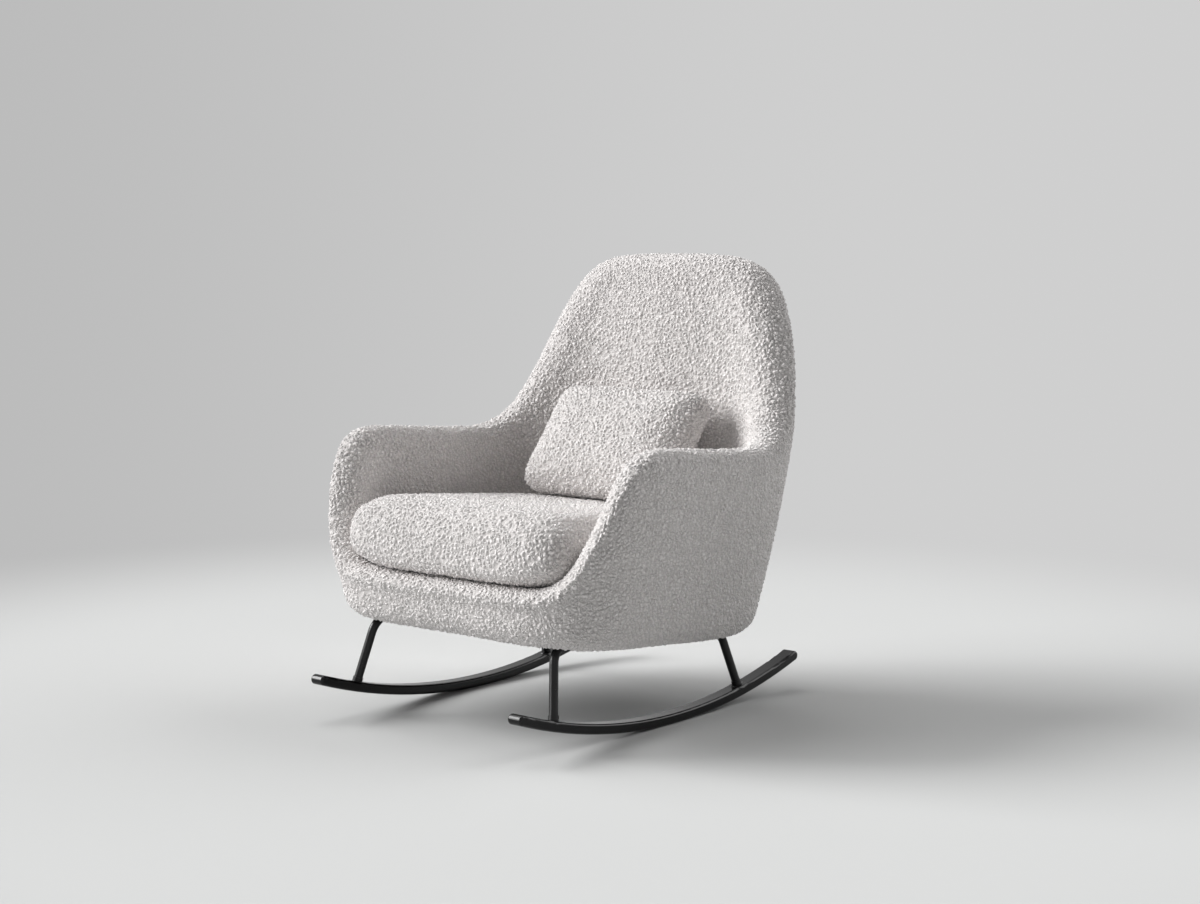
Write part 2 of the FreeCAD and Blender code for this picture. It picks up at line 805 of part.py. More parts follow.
def pillow_solid(inset):
    """Pillow lying flat: fullest in the middle, its sides drawn in between the corners."""
    half_thickness = pillow_thickness / 2 - inset
    rings = []
    for turn in pillow_turns:
        drawn, risen = round_over(abs(turn), pillow_squareness)
        reach = drawn * pillow_round + inset
        half_height = pillow_height / 2 - reach
        ring = soft_ring(pillow_width / 2 - reach, half_height, half_height, pillow_corner_squareness,
                         pillow_corner_squareness)
        drawn_in = []
        for x, y in ring:
            middle_share = 1 - min(abs(x) / (pillow_width / 2), 1) * min(abs(y) / half_height, 1)
            drawn_in.append((x * (1 - pillow_draw_in * middle_share), y * (1 - pillow_draw_in * middle_share)))
        rings.append((drawn_in, math.copysign(risen * half_thickness, turn)))
    return soft_solid(rings)


def pillow_placement():
    stand = FreeCAD.Rotation(X_AXIS, 90 - pillow_lean)
    return FreeCAD.Placement(Vector(0, pillow_y, pillow_z), stand)


def loose_cushions():
    core_inset = cover_thickness + layer_gap
    parts = {
        "seat_cushion_cover": seat_cushion_solid(0).cut(seat_cushion_solid(cover_thickness)),
        "seat_cushion_core": seat_cushion_solid(core_inset),
        "pillow_cover": pillow_solid(0).cut(pillow_solid(cover_thickness)),
        "pillow_filling": pillow_solid(core_inset),
    }
    for name in ("pillow_cover", "pillow_filling"):
        parts[name].Placement = pillow_placement()
    return parts


def tub_parts():
    parts = {"tub_cover": tub_cover()}
    parts.update(tub_foam())
    parts.update(steel_frame())
    parts.update(seat_frame())
    parts["hoop_pins"] = Part.makeCompound(pins(pin_diameter, pin_length))
    parts["corner_blocks"] = corner_blocks()
    parts["tee_nuts"] = tee_nuts()
    parts["seat_springs"] = seat_springs()
    parts["spring_clips"] = spring_clips()
    parts["deck_pad"] = deck_pad()
    parts["dust_cover"] = dust_cover()
    parts["front_cross_bar"] = cross_bar(block_front_y)
    parts["rear_cross_bar"] = cross_bar(block_back_y)
    parts["mount_spacers"] = mount_spacers()
    parts["base_bolts"] = base_bolts()
    parts.update(loose_cushions())
    return {name: placed(shape) for name, shape in parts.items()}


def base_parts():
    parts = {"runner_screws": runner_screws()}
    for name, side in (("left", -1), ("right", 1)):
        parts["runner_" + name] = runner(side)
        parts["side_frame_" + name] = side_frame(side)
        for end, leg in zip(("front", "rear"), leg_feet(side)):
            parts["leg_foot_" + end + "_" + name] = leg_foot(*leg)
    return parts


def main():
    parts = base_parts()
    parts.update(tub_parts())
    for name, shape in parts.items():
        shape.exportStep("parts/" + name + ".step")
        print(name, len(shape.Solids), shape.isValid(), round(shape.Volume / 1000, 1), "cm3")


main()
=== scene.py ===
import json
import math
import bmesh
import bpy
from mathutils import Matrix, Vector


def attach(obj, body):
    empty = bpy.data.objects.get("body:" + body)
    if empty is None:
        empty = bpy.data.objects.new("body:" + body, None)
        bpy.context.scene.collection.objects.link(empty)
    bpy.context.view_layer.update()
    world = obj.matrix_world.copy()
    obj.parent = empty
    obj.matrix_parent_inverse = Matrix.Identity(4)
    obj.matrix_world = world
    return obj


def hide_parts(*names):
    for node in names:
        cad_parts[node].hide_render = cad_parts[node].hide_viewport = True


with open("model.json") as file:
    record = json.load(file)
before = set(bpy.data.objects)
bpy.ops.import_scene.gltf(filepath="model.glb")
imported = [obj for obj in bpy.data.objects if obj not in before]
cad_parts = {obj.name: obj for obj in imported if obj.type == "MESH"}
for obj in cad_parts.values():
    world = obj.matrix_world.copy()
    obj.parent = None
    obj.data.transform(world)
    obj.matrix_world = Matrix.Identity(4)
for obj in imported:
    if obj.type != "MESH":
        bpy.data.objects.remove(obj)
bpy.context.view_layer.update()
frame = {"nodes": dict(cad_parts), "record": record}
nodes = frame["nodes"]
scene = bpy.context.scene
scene.view_settings.view_transform = "Standard"
print("frame loaded:", len(nodes), "nodes")


# one socket of a node tree; sums and products of it add Math nodes
class Sock:
    def __init__(self, tree, socket=None):
        self.tree = tree
        self.socket = socket

    def node(self, kind, settings, inputs, output=0):
        made = self.tree.nodes.new(kind)
        for name, value in settings.items():
            setattr(made, name, value)
        for name, value in inputs.items():
            if isinstance(value, Sock):
                self.tree.links.new(value.socket, made.inputs[name])
            else:
                made.inputs[name].default_value = value
        return Sock(self.tree, made.outputs[output] if made.outputs else None)

    def math(self, operation, *values):
        return self.node("ShaderNodeMath", {"operation": operation}, dict(enumerate(values)))

    def __add__(self, other):
        return self.math("ADD", self, other)

    def __radd__(self, other):
        return self.math("ADD", other, self)

    def __sub__(self, other):
        return self.math("SUBTRACT", self, other)

    def __rsub__(self, other):
        return self.math("SUBTRACT", other, self)

    def __mul__(self, other):
        return self.math("MULTIPLY", self, other)

    def __rmul__(self, other):
        return self.math("MULTIPLY", other, self)


def shaderOf(name):
    made = bpy.data.materials.new(name)
    made.use_nodes = True
    made.node_tree.nodes.clear()
    return made, Sock(made.node_tree)


def finishShader(sock, surface):
    sock.node("ShaderNodeOutputMaterial", {}, {"Surface": surface})


def noiseOf(sock, place, scale, detail=2.0, output=0):
    return sock.node("ShaderNodeTexNoise", {}, {"Vector": place, "Scale": scale, "Detail": detail}, output)


# 0 at the span's start, 1 at its end
def spanOf(sock, value, span, kind="LINEAR"):
    return sock.node("ShaderNodeMapRange", {"interpolation_type": kind},
                     {"Value": value, "From Min": span[0], "From Max": span[1]})


def mixColour(sock, amount, first, second, blend="MIX"):
    return sock.node("ShaderNodeMix", {"data_type": "RGBA", "blend_type": blend},
                     {0: amount, 6: first, 7: second}, 2)


def bumpOf(sock, height, strength, distance, normal=None):
    inputs = {"Height": height, "Strength": strength, "Distance": distance}
    if normal:
        inputs["Normal"] = normal
    return sock.node("ShaderNodeBump", {}, inputs)


boucle = {
    "loopLight": (0.90, 0.866, 0.854, 1.0),
    "loopShade": (0.84, 0.807, 0.796, 1.0),
    # painted shade: the crevice colour darkens the cloth between the nubs, standing in for the shadow the bumps
    # cannot cast
    "crevice": (0.60, 0.572, 0.560, 1.0),
    "loopSize": 0.0084,       # one nub of curled yarn
    "loopCurl": 0.0060,       # how far the curl shifts it
    "loopRise": (0.0, 0.36),  # how soon a nub rises from its crevice
    "loopHeight": 0.0044,     # crevice to nub top
    "waveSize": 0.045,        # slow unevenness of the cloth
    "waveHeight": 0.0012,
    "curlScale": 190.0,
    "tuftScale": 110.0,
    "nubShare": 0.8,
    "tuftShare": 0.7,
    "restLevel": 0.75,        # part of a nub's height that lies under the skin
    "toneSpan": (0.35, 0.62),
    # painted shade: the nub heights over which the painted crevice shade fades into the nub colour
    "creviceShadeSpan": (-0.05, 0.25),
    "fleckScale": 160.0,
    "cloudScale": 7.0,
    "strandScale": 620.0,
    "fibreScale": 1700.0,
    "roughness": 0.88,
    "sheen": 0.55,
    "sheenRoughness": 0.45,
    "specular": 0.25,
}


# nubs of yarn, parted by thin crevices
def nubOf(sock, cloth):
    edge = sock.node("ShaderNodeTexVoronoi", {"feature": "DISTANCE_TO_EDGE"},
                     {"Vector": cloth, "Scale": 1.0 / boucle["loopSize"]})
    return spanOf(sock, edge, boucle["loopRise"], "SMOOTHSTEP")


def boucleMaterial():
    made, sock = shaderOf("boucle")
    place = sock.node("ShaderNodeTexCoord", {}, {}, 3)
    cloth = sock.node("ShaderNodeAttribute", {"attribute_name": "cloth"}, {}, 1)
    nub = nubOf(sock, cloth)
    fleck = noiseOf(sock, place, boucle["fleckScale"], 3.0)
    cloud = noiseOf(sock, place, boucle["cloudScale"], 2.0)
    strand = noiseOf(sock, place, boucle["strandScale"], 2.0)
    fibre = noiseOf(sock, place, boucle["fibreScale"], 2.0)
    tone = spanOf(sock, fleck * 0.75 + cloud * 0.25, boucle["toneSpan"])
    top = mixColour(sock, tone, boucle["loopShade"], boucle["loopLight"])
    # painted shade: the cloth turns to the crevice colour where the nubs sink, standing in for the shadow between
    # them
    depth = spanOf(sock, nub + (strand - 0.5) * 0.5, boucle["creviceShadeSpan"])
    colour = mixColour(sock, depth, boucle["crevice"], top)
    weave = bumpOf(sock, nub + strand * 0.6, 0.9, 0.0024)
    weave = bumpOf(sock, fibre, 0.4, 0.0007, weave)
    surface = sock.node("ShaderNodeBsdfPrincipled", {},
                        {"Base Color": colour, "Roughness": boucle["roughness"] + fleck * 0.12, "Normal": weave,
                         "Sheen Weight": boucle["sheen"], "Sheen Roughness": boucle["sheenRoughness"],
                         "Specular IOR Level": boucle["specular"]})
    finishShader(sock, surface)
    return made


lacquer = {
    "black": (0.0035, 0.0035, 0.0037, 1.0),
    "worn": (0.010, 0.010, 0.010, 1.0),
    "gloss": 0.10,
    "specular": 0.30,
    "grainScale": (160.0, 9.0, 160.0),
    "cloudScale": 11.0,
    "dustScale": 900.0,
    "speckSpan": (0.68, 0.78),
}


def lacquerMaterial():
    made, sock = shaderOf("black_lacquer")
    place = sock.node("ShaderNodeTexCoord", {}, {}, 3)
    along = sock.node("ShaderNodeMapping", {}, {"Vector": place, "Scale": lacquer["grainScale"]})
    grain = noiseOf(sock, along, 1.0, 4.0)
    cloud = noiseOf(sock, place, lacquer["cloudScale"], 3.0)
    dust = noiseOf(sock, place, lacquer["dustScale"], 2.0)
    speck = spanOf(sock, dust, lacquer["speckSpan"])
    colour = mixColour(sock, grain * 0.25 + speck * 0.35, lacquer["black"], lacquer["worn"])
    skin = bumpOf(sock, grain, 0.06, 0.0006)
    skin = bumpOf(sock, cloud, 0.10, 0.002, skin)
    surface = sock.node("ShaderNodeBsdfPrincipled", {},
                        {"Base Color": colour, "Roughness": lacquer["gloss"] + cloud * 0.12 + speck * 0.25,
                         "Normal": skin, "Specular IOR Level": lacquer["specular"]})
    finishShader(sock, surface)
    return made


powderCoat = {
    "black": (0.004, 0.004, 0.0043, 1.0),
    "rubbed": (0.012, 0.012, 0.0125, 1.0),
    "gloss": 0.22,
    "specular": 0.35,
    "peelScale": 620.0,
    "cloudScale": 24.0,
}


def powderCoatMaterial():
    made, sock = shaderOf("black_steel")
    place = sock.node("ShaderNodeTexCoord", {}, {}, 3)
    peel = noiseOf(sock, place, powderCoat["peelScale"], 2.0)
    cloud = noiseOf(sock, place, powderCoat["cloudScale"], 3.0)
    colour = mixColour(sock, cloud * peel, powderCoat["black"], powderCoat["rubbed"])
    skin = bumpOf(sock, peel, 0.12, 0.0005)
    surface = sock.node("ShaderNodeBsdfPrincipled", {},
                        {"Base Color": colour, "Roughness": powderCoat["gloss"] + cloud * 0.16, "Normal": skin,
                         "Specular IOR Level": powderCoat["specular"]})
    finishShader(sock, surface)
    return made


zinc = {
    "bright": (0.62, 0.62, 0.63, 1.0),
    "dull": (0.42, 0.43, 0.45, 1.0),
    "gloss": 0.28,
    "spangleScale": 260.0,
    "cloudScale": 60.0,
}


def zincMaterial():
    made, sock = shaderOf("zinc_steel")
    place = sock.node("ShaderNodeTexCoord", {}, {}, 3)
    spangle = sock.node("ShaderNodeTexVoronoi", {}, {"Vector": place, "Scale": zinc["spangleScale"]}, 0)
    cloud = noiseOf(sock, place, zinc["cloudScale"], 3.0)
    colour = mixColour(sock, spangle * 0.6 + cloud * 0.4, zinc["bright"], zinc["dull"])
    surface = sock.node("ShaderNodeBsdfPrincipled", {},
                        {"Base Color": colour, "Metallic": 1.0, "Roughness": zinc["gloss"] + cloud * 0.25,
                         "Normal": bumpOf(sock, cloud, 0.1, 0.0004)})
    finishShader(sock, surface)
    return made


plywood = {
    "early": (0.60, 0.44, 0.27, 1.0),
    "late": (0.40, 0.26, 0.14, 1.0),
    "roughness": 0.55,
    "grainScale": (14.0, 120.0, 600.0),
    "plyScale": 210.0,
}


def plywoodMaterial():
    made, sock = shaderOf("plywood")
    place = sock.node("ShaderNodeTexCoord", {}, {}, 3)
    along = sock.node("ShaderNodeMapping", {}, {"Vector": place, "Scale": plywood["grainScale"]})
    grain = noiseOf(sock, along, 1.0, 5.0)
    ply = sock.node("ShaderNodeTexWave", {"bands_direction": "Z"},
                    {"Vector": place, "Scale": plywood["plyScale"], "Distortion": 1.2, "Detail": 2.0}, 1)
    colour = mixColour(sock, grain * 0.6 + ply * 0.4, plywood["early"], plywood["late"])
    surface = sock.node("ShaderNodeBsdfPrincipled", {},
                        {"Base Color": colour, "Roughness": plywood["roughness"] + grain * 0.25,
                         "Normal": bumpOf(sock, grain, 0.25, 0.0006)})
    finishShader(sock, surface)
    return made


foam = {
    "fresh": (0.86, 0.80, 0.62, 1.0),
    "aged": (0.74, 0.65, 0.44, 1.0),
    "roughness": 0.9,
    "cellScale": 700.0,
    "cloudScale": 16.0,
}
fibreFilling = {"fresh": (0.90, 0.90, 0.88, 1.0), "aged": (0.80, 0.80, 0.78, 1.0)}


def foamMaterial(name, fresh, aged):
    made, sock = shaderOf(name)
    place = sock.node("ShaderNodeTexCoord", {}, {}, 3)
    cell = sock.node("ShaderNodeTexVoronoi", {}, {"Vector": place, "Scale": foam["cellScale"]}, 0)
    cloud = noiseOf(sock, place, foam["cloudScale"], 3.0)
    colour = mixColour(sock, cloud * 0.6 + cell * 0.4, fresh, aged)
    surface = sock.node("ShaderNodeBsdfPrincipled", {},
                        {"Base Color": colour, "Roughness": foam["roughness"] + cell * 0.1,
                         "Normal": bumpOf(sock, cell, 0.5, 0.0012)})
    finishShader(sock, surface)
    return made


dustCloth = {
    "black": (0.020, 0.020, 0.021, 1.0),
    "thread": (0.050, 0.050, 0.052, 1.0),
    "roughness": 0.85,
    "webScale": 420.0,
    "threadWidth": 0.12,
    "cloudScale": 30.0,
}


def dustClothMaterial():
    made, sock = shaderOf("dust_cloth")
    place = sock.node("ShaderNodeTexCoord", {}, {}, 3)
    web = sock.node("ShaderNodeTexVoronoi", {"feature": "DISTANCE_TO_EDGE"},
                    {"Vector": place, "Scale": dustCloth["webScale"]}, 0)
    thread = sock.node("ShaderNodeMapRange", {}, {"Value": web, "From Min": 0.0, "From Max": dustCloth["threadWidth"],
                                                  "To Min": 1.0, "To Max": 0.0})
    cloud = noiseOf(sock, place, dustCloth["cloudScale"], 3.0)
    colour = mixColour(sock, thread * 0.7 + cloud * 0.3, dustCloth["black"], dustCloth["thread"])
    surface = sock.node("ShaderNodeBsdfPrincipled", {},
                        {"Base Color": colour, "Roughness": dustCloth["roughness"] + cloud * 0.1,
                         "Normal": bumpOf(sock, thread, 0.4, 0.0004)})
    finishShader(sock, surface)
    return made


materials = {
    "boucle": boucleMaterial(),
    "black_lacquer": lacquerMaterial(),
    "black_steel": powderCoatMaterial(),
    "zinc_steel": zincMaterial(),
    "plywood": plywoodMaterial(),
    "foam": foamMaterial("foam", foam["fresh"], foam["aged"]),
    "fibre_filling": foamMaterial("fibre_filling", fibreFilling["fresh"], fibreFilling["aged"]),
    "dust_cloth": dustClothMaterial(),
}
for row in frame["record"]["subparts"]:
    skin = nodes[row["node"]].data.materials
    skin.clear()
    skin.append(materials[row["material_slot"]])
print("materials made")


def objectOf(name, bm):
    mesh = bpy.data.meshes.new(name)
    bm.to_mesh(mesh)
    bm.free()
    made = bpy.data.objects.new(name, mesh)
    scene.collection.objects.link(made)
    return made


# applies what the modifiers made
def settle(piece):
    graph = bpy.context.evaluated_depsgraph_get()
    made = bpy.data.meshes.new_from_object(piece.evaluated_get(graph))
    made.name = piece.name
    old = piece.data
    piece.modifiers.clear()
    piece.data = made
    bpy.data.meshes.remove(old)


weldDistance = 0.00002


def mergedCopy(node):
    bm = bmesh.new()
    bm.from_mesh(nodes[node].data)
    bmesh.ops.remove_doubles(bm, verts=bm.verts, dist=weldDistance)
    return bm


# a cover is a skin with an inner side; this keeps the outer side alone
def outerSkin(bm):
    waiting = set(bm.verts)
    shells = []
    while waiting:
        front = [waiting.pop()]
        shell = []
        while front:
            vert = front.pop()
            shell.append(vert)
            for edge in vert.link_edges:
                other = edge.other_vert(vert)
                if other in waiting:
                    waiting.discard(other)
                    front.append(other)
        shells.append(shell)
    shells.sort(key=lambda shell: max(v.co.z for v in shell) - min(v.co.z for v in shell))
    bmesh.ops.delete(bm, geom=[v for shell in shells[:-1] for v in shell], context="VERTS")


def remesh(piece, voxel, smoothing):
    grid = piece.modifiers.new("grid", "REMESH")
    grid.mode = "VOXEL"
    grid.voxel_size = voxel
    soft = piece.modifiers.new("soft", "SMOOTH")
    soft.factor = 0.5
    soft.iterations = smoothing
    settle(piece)


# yarn loops: a node group that lifts the cloth into small curled loops
def loopGroup():
    group = bpy.data.node_groups.new("yarn_loops", "GeometryNodeTree")
    group.interface.new_socket("Geometry", in_out="INPUT", socket_type="NodeSocketGeometry")
    group.interface.new_socket("Geometry", in_out="OUTPUT", socket_type="NodeSocketGeometry")
    sock = Sock(group)
    cloth = sock.node("NodeGroupInput", {}, {})
    place = sock.node("GeometryNodeInputPosition", {}, {})
    curl = noiseOf(sock, place, boucle["curlScale"], 1.0, 1)
    shift = sock.node("ShaderNodeVectorMath", {"operation": "SUBTRACT"}, {0: curl, 1: (0.5, 0.5, 0.5)})
    shift = sock.node("ShaderNodeVectorMath", {"operation": "SCALE"}, {0: shift, "Scale": boucle["loopCurl"]})
    bent = sock.node("ShaderNodeVectorMath", {"operation": "ADD"}, {0: place, 1: shift})
    tuft = noiseOf(sock, place, boucle["tuftScale"], 1.0)
    loop = nubOf(sock, bent) * boucle["nubShare"] + tuft * boucle["tuftShare"]
    wave = noiseOf(sock, place, 1.0 / boucle["waveSize"], 1.0)
    lift = (loop - boucle["restLevel"]) * boucle["loopHeight"] + (wave - 0.5) * boucle["waveHeight"]
    outward = sock.node("GeometryNodeInputNormal", {}, {})
    offset = sock.node("ShaderNodeVectorMath", {"operation": "SCALE"}, {0: outward, "Scale": lift})
    marked = sock.node("GeometryNodeStoreNamedAttribute", {"data_type": "FLOAT_VECTOR", "domain": "POINT"},
                       {"Geometry": cloth, "Name": "cloth", "Value": bent})
    lifted = sock.node("GeometryNodeSetPosition", {}, {"Geometry": marked, "Offset": offset})
    sock.node("NodeGroupOutput", {}, {"Geometry": lifted})
    return group


yarnLoops = loopGroup()


def dress(piece, body, slot):
    fine = piece.modifiers.new("fine", "SUBSURF")
    fine.levels = fine.render_levels = 1
    loops = piece.modifiers.new("loops", "NODES")
    loops.node_group = yarnLoops
    settle(piece)
    piece.data.materials.clear()
    piece.data.materials.append(materials[slot])
    for face in piece.data.polygons:
        face.use_smooth = True
    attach(piece, body)
    print(piece.name, "has", 2 * len(piece.data.polygons), "triangles")


tub = {
    "lean": 5.0,
    "foot": (0.0, -0.045, 0.172),    # where the sole sits
    "cutX": 0.2646,                  # the sole's hollow, a hair wider
    "cutFront": -0.2796,
    "cutBack": 0.2846,
    "wallLean": 0.2,                 # most that a wall of the hollow faces up or down
    "hollowTop": 0.13,
    "deckLevel": 0.06,               # rims above it belong to the deck
    "deckDrop": 0.018,               # deck cloth dips between the rails
    "soleRise": 0.0215,
    "railDrop": 0.008,               # the front rail's lip, rolled down under the cushion
    "lipDepth": (0.325, 0.372),      # where the roll starts and is full
    "lipHeight": (0.262, 0.318),
    "lipSide": (0.25, 0.33),         # it fades out towards the arms
    "voxel": 0.0049,
    "smoothing": 4,
}
tubPlace = Matrix.Translation(tub["foot"]) @ Matrix.Rotation(math.radians(-tub["lean"]), 4, "X")


# 0 below low, 1 above high, smooth between
def ease(value, low, high):
    share = min(max((value - low) / (high - low), 0.0), 1.0)
    return share * share * (3.0 - 2.0 * share)


# rolls the front rail's lip down, so that a shadow gap opens under the cushion
def rollLip(piece):
    for vert in piece.data.vertices:
        side, depth, height = vert.co
        if -depth > tub["lipDepth"][0] and height > tub["lipHeight"][0]:
            share = ease(-depth, *tub["lipDepth"]) * ease(height, *tub["lipHeight"])
            share *= 1.0 - ease(abs(side), *tub["lipSide"])
            vert.co.z = height - tub["railDrop"] * share


def tubPiece():
    bm = mergedCopy("tub_cover")
    home = tubPlace.inverted()
    upright = tubPlace.to_3x3() @ Vector((0.0, 0.0, 1.0))
    edges = []
    for face in bm.faces:
        spot = home @ face.calc_center_median()
        inside = abs(spot.x) < tub["cutX"] and tub["cutFront"] < spot.y < tub["cutBack"]
        if inside and abs(face.normal.dot(upright)) < tub["wallLean"] and spot.z < tub["hollowTop"]:
            edges.append(face)
    bmesh.ops.delete(bm, geom=edges, context="FACES")
    outerSkin(bm)
    rims = {"deck": [], "sole": []}
    for edge in bm.edges:
        if edge.is_boundary:
            height = (home @ edge.verts[0].co).z
            rims["deck" if height > tub["deckLevel"] else "sole"].append(edge)
    for name, drop in (("deck", -tub["deckDrop"]), ("sole", tub["soleRise"])):
        grown = bmesh.ops.extrude_edge_only(bm, edges=rims[name])["geom"]
        moved = [g for g in grown if isinstance(g, bmesh.types.BMVert)]
        bmesh.ops.translate(bm, verts=moved, vec=upright * drop)
        bmesh.ops.holes_fill(bm, edges=[g for g in grown if isinstance(g, bmesh.types.BMEdge) and g.is_boundary])
    bmesh.ops.recalc_face_normals(bm, faces=bm.faces)
    piece = objectOf("tub_boucle", bm)
    remesh(piece, tub["voxel"], tub["smoothing"])
    rollLip(piece)
    dress(piece, "chair", "boucle")
    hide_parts("tub_cover", "foam_arm_left", "foam_arm_right", "foam_back", "foam_front_rail", "deck_pad")
    return piece


stuffing = {"quality": 5, "mass": 0.3, "bending": 1.0}


# stuffs a closed skin: drawn in a little first, then blown up again as cloth
def stuff(piece, pad):
    outward = [v.normal.copy() for v in piece.data.vertices]
    start = [v.co - away * pad["slack"] for v, away in zip(piece.data.vertices, outward)]
    for vert, place in zip(piece.data.vertices, start):
        vert.co = place
    cloth = piece.modifiers.new("stuffing", "CLOTH")
    cloth.settings.quality = stuffing["quality"]
    cloth.settings.mass = stuffing["mass"]
    cloth.settings.tension_stiffness = pad["stretch"]
    cloth.settings.compression_stiffness = pad["stretch"]
    cloth.settings.bending_stiffness = stuffing["bending"]
    cloth.settings.use_pressure = True
    cloth.settings.uniform_pressure_force = pad["pressure"]
    cloth.settings.effector_weights.gravity = 0.0
    cloth.collision_settings.use_collision = False
    cloth.point_cache.frame_start = 1
    cloth.point_cache.frame_end = pad["frames"]
    for step in range(1, pad["frames"] + 1):
        scene.frame_set(step)
    settle(piece)
    scene.frame_set(1)
    moves = [vert.co - place for vert, place in zip(piece.data.vertices, start)]
    for vert, place, move, away in zip(piece.data.vertices, start, moves, outward):
        swell = max(move.dot(away), 0.0)  # the foam inside keeps the cloth from caving in
        vert.co = place + away * pad["cap"] * (1.0 - math.exp(-swell / pad["cap"]))
    print(piece.name, "stuffed, furthest", round(max(m.length for m in moves) * 1000, 1), "mm before the cap")


# pulls the lower edge of a pad's front tight
def tightenEdge(piece, pad):
    home = tubPlace.inverted()
    turn = home.to_3x3()
    aways = [v.normal.copy() for v in piece.data.vertices]
    for vert, away in zip(piece.data.vertices, aways):
        side, depth, height = turn @ away
        spot = home @ vert.co
        front = ease(-spot.y, *pad["edgeDepth"])
        corner = 2.0 * max(-height, 0.0) * math.hypot(side, depth)  # 1 where the skin faces out and down alike
        lift = ease(-spot.y, *pad["liftDepth"]) * (1.0 - ease(spot.z, *pad["liftHeight"]))
        raised = tubPlace.to_3x3() @ Vector((0.0, 0.0, pad["lift"] * lift))
        vert.co += away * pad["edge"] * front * corner + raised


seatPad = {
    "simVoxel": 0.0095,
    "simSmoothing": 2,
    "voxel": 0.0047,
    "smoothing": 3,
    "edge": 0.010,              # how far the lower front edge is pulled out
    "edgeDepth": (0.05, 0.20),
    "lift": 0.004,              # and up, off the front rail
    "liftDepth": (0.24, 0.32),
    "liftHeight": (0.12, 0.19),
    "slack": 0.004,             # drawn in before the stuffing
    "cap": 0.006,               # the most that the stuffing swells
    "pressure": 4.0,
    "stretch": 15.0,
    "frames": 20,
}
backPad = {
    "simVoxel": 0.0075,
    "simSmoothing": 2,
    "voxel": 0.0045,
    "smoothing": 3,
    "slack": 0.004,
    "cap": 0.006,
    "pressure": 4.0,
    "stretch": 15.0,
    "frames": 20,
}


def cushionPiece(name, cover, filling, body, pad):
    bm = mergedCopy(cover)
    outerSkin(bm)
    bmesh.ops.recalc_face_normals(bm, faces=bm.faces)
    piece = objectOf(name, bm)
    remesh(piece, pad["simVoxel"], pad["simSmoothing"])
    if "edge" in pad:
        tightenEdge(piece, pad)
    stuff(piece, pad)
    even = piece.modifiers.new("even", "SUBSURF")
    even.levels = even.render_levels = 1
    remesh(piece, pad["voxel"], pad["smoothing"])
    dress(piece, body, "boucle")
    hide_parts(cover, filling)
    return piece


tubPiece()
cushionPiece("seat_cushion", "seat_cushion_cover", "seat_cushion_core", "seat_cushion", seatPad)
cushionPiece("pillow", "pillow_cover", "pillow_filling", "pillow", backPad)

underCloth = {"corner": 0.030, "cornerSteps": 6, "hem": 0.014, "thick": 0.0008}


# the black cloth stapled under the seat, with its turned hem
def underClothPiece():
    home = tubPlace.inverted()
    spots = [home @ v.co for v in nodes["dust_cover"].data.vertices]
    low = Vector([min(spot[i] for spot in spots) for i in range(3)])
    high = Vector([max(spot[i] for spot in spots) for i in range(3)])
    width, length = high.x - low.x, high.y - low.y
    bm = bmesh.new()
    bmesh.ops.create_grid(bm, x_segments=1, y_segments=1, size=0.5)
    bmesh.ops.scale(bm, vec=(width, length, 1.0), verts=bm.verts)
    bmesh.ops.bevel(bm, geom=bm.verts[:], offset=underCloth["corner"], affect="VERTICES",
                    segments=underCloth["cornerSteps"], profile=0.5, material=-1)
    bmesh.ops.inset_region(bm, faces=bm.faces[:], thickness=underCloth["hem"], use_even_offset=True)
    bmesh.ops.solidify(bm, geom=bm.faces[:], thickness=underCloth["thick"])
    bmesh.ops.recalc_face_normals(bm, faces=bm.faces)
    lowest = min(v.co.z for v in bm.verts)
    middle = (low + high) / 2
    bmesh.ops.translate(bm, verts=bm.verts, vec=(middle.x, middle.y, low.z - lowest))
    bmesh.ops.transform(bm, matrix=tubPlace, verts=bm.verts)
    piece = objectOf("under_cloth", bm)
    piece.data.materials.append(materials["dust_cloth"])
    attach(piece, "chair")
    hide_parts("dust_cover")
    print("under cloth", round(width, 3), "by", round(length, 3), "m")


underClothPiece()

studio = {
    "ambient": 0.075,
    "left": (0.495, 0.495, 0.495, 1.0),
    "right": (0.625, 0.625, 0.625, 1.0),
    "wallSpan": (-0.36, 0.16),             # from the left grey to the right one
    "key": (3.00, 206.0, 33.0, 30.0),      # strength, bearing, rise, softness
    "front": (1.65, 225.0, 20.0, 30.0),
    "top": (0.90, 175.0, 65.0, 40.0),
    "bounce": (1.40, 60.0, 35.0, 50.0),
    "cameraPlace": (2.775, -3.189, 0.976),
    "cameraTurn": (84.09, 0.0, 39.98),
    "lens": 60.82,
    "sensor": 36.0,
}


# the backdrop's grey, paler towards the right, for a direction from the camera
def backdropGrey(sock, ray):
    turn = math.radians(studio["cameraTurn"][2])
    across = sock.node("ShaderNodeVectorMath", {"operation": "DOT_PRODUCT"},
                       {0: ray, 1: (math.cos(turn), math.sin(turn), 0.0)}, 1)
    side = spanOf(sock, across, studio["wallSpan"], "SMOOTHSTEP")
    return mixColour(sock, side, studio["left"], studio["right"])


floor = {
    "size": 60.0,
    "pale": (0.555, 0.56, 0.557, 1.0),
    "roughness": 0.9,
    "specular": 0.1,
    "fadeSpan": (1.35, 2.75),  # where the floor passes into the backdrop
}


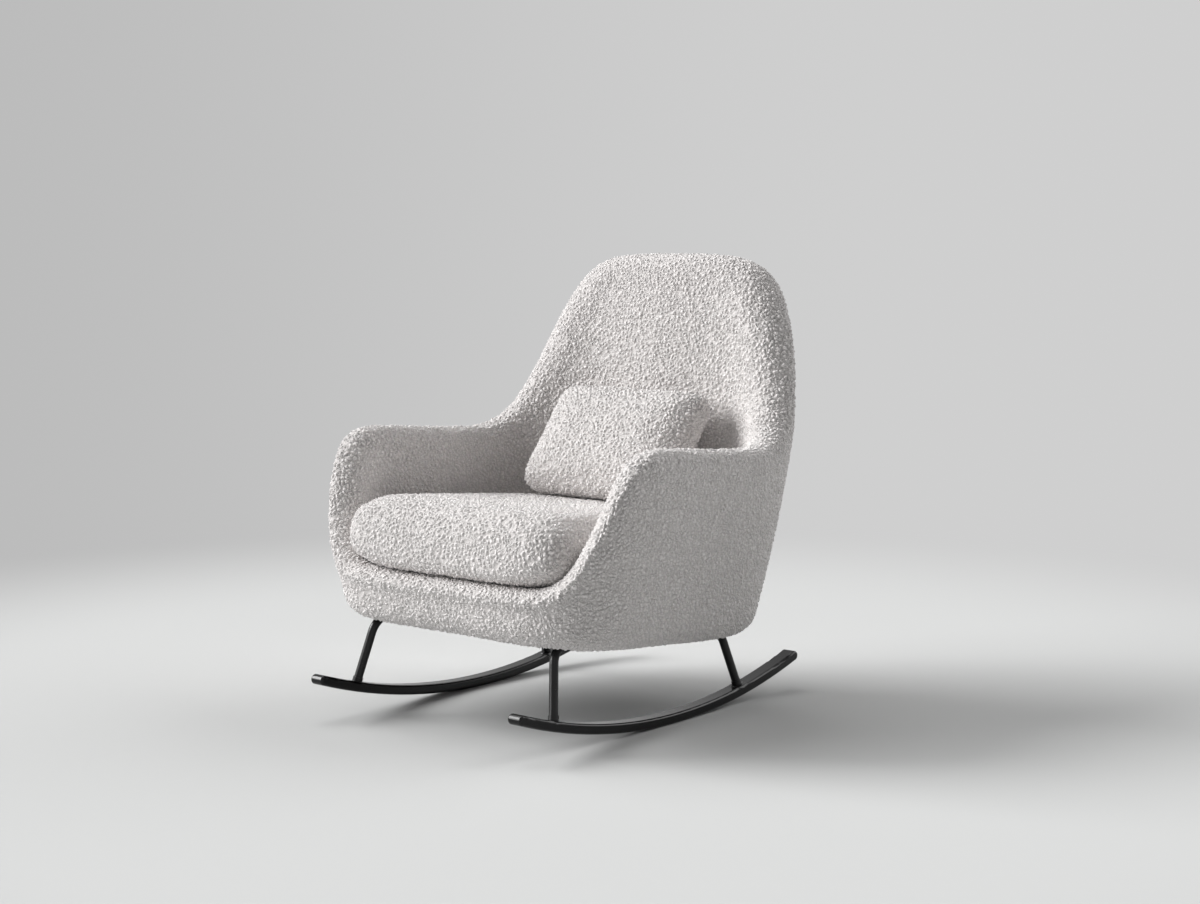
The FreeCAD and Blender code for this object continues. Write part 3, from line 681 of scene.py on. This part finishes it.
def studioFloor():
    bm = bmesh.new()
    bmesh.ops.create_grid(bm, x_segments=1, y_segments=1, size=floor["size"])
    piece = objectOf("floor", bm)
    made, sock = shaderOf("studio_floor")
    place = sock.node("ShaderNodeTexCoord", {}, {}, 3)
    away = sock.node("ShaderNodeVectorMath", {"operation": "LENGTH"}, {0: place}, 1)
    fade = spanOf(sock, away, floor["fadeSpan"], "SMOOTHSTEP")
    near = sock.node("ShaderNodeBsdfPrincipled", {},
                     {"Base Color": floor["pale"], "Roughness": floor["roughness"],
                      "Specular IOR Level": floor["specular"]})
    ray = sock.node("ShaderNodeVectorMath", {"operation": "SUBTRACT"}, {0: place, 1: studio["cameraPlace"]})
    ray = sock.node("ShaderNodeVectorMath", {"operation": "NORMALIZE"}, {0: ray})
    far = sock.node("ShaderNodeEmission", {}, {"Color": backdropGrey(sock, ray), "Strength": 1.0})
    finishShader(sock, sock.node("ShaderNodeMixShader", {}, {0: fade, 1: near, 2: far}))
    piece.data.materials.append(made)


def sunLamp(name, strength, bearing, rise, softness):
    lamp = bpy.data.lights.new(name, "SUN")
    lamp.energy = strength
    lamp.angle = math.radians(softness)
    piece = bpy.data.objects.new(name, lamp)
    towards = Matrix.Rotation(math.radians(bearing), 3, "Z") @ Vector(
        (math.cos(math.radians(rise)), 0.0, math.sin(math.radians(rise))))
    piece.rotation_euler = towards.to_track_quat("Z", "Y").to_euler()
    piece.location = towards * 4.0
    scene.collection.objects.link(piece)


def studioLight():
    world = bpy.data.worlds.new("studio")
    scene.world = world
    world.use_nodes = True
    world.node_tree.nodes.clear()
    sock = Sock(world.node_tree)
    ray = sock.node("ShaderNodeTexCoord", {}, {}, 0)
    seen = sock.node("ShaderNodeLightPath", {}, {}, "Is Camera Ray")
    seen = seen.math("MAXIMUM", seen, sock.node("ShaderNodeLightPath", {}, {}, "Is Glossy Ray"))
    seen = seen.math("MAXIMUM", seen, sock.node("ShaderNodeLightPath", {}, {}, "Is Transmission Ray"))
    soft = sock.node("ShaderNodeBackground", {}, {"Color": (1.0, 1.0, 1.0, 1.0), "Strength": studio["ambient"]})
    wall = sock.node("ShaderNodeBackground", {}, {"Color": backdropGrey(sock, ray), "Strength": 1.0})
    mixed = sock.node("ShaderNodeMixShader", {}, {0: seen, 1: soft, 2: wall})
    sock.node("ShaderNodeOutputWorld", {}, {"Surface": mixed})
    for name in ("key", "front", "top", "bounce"):
        sunLamp(name, *studio[name])


def studioCamera():
    data = bpy.data.cameras.new("camera")
    data.lens = studio["lens"]
    data.sensor_width = studio["sensor"]
    camera = bpy.data.objects.new("camera", data)
    camera.location = studio["cameraPlace"]
    camera.rotation_euler = [math.radians(a) for a in studio["cameraTurn"]]
    scene.collection.objects.link(camera)
    scene.camera = camera


studioFloor()
studioLight()
studioCamera()
print("studio ready")
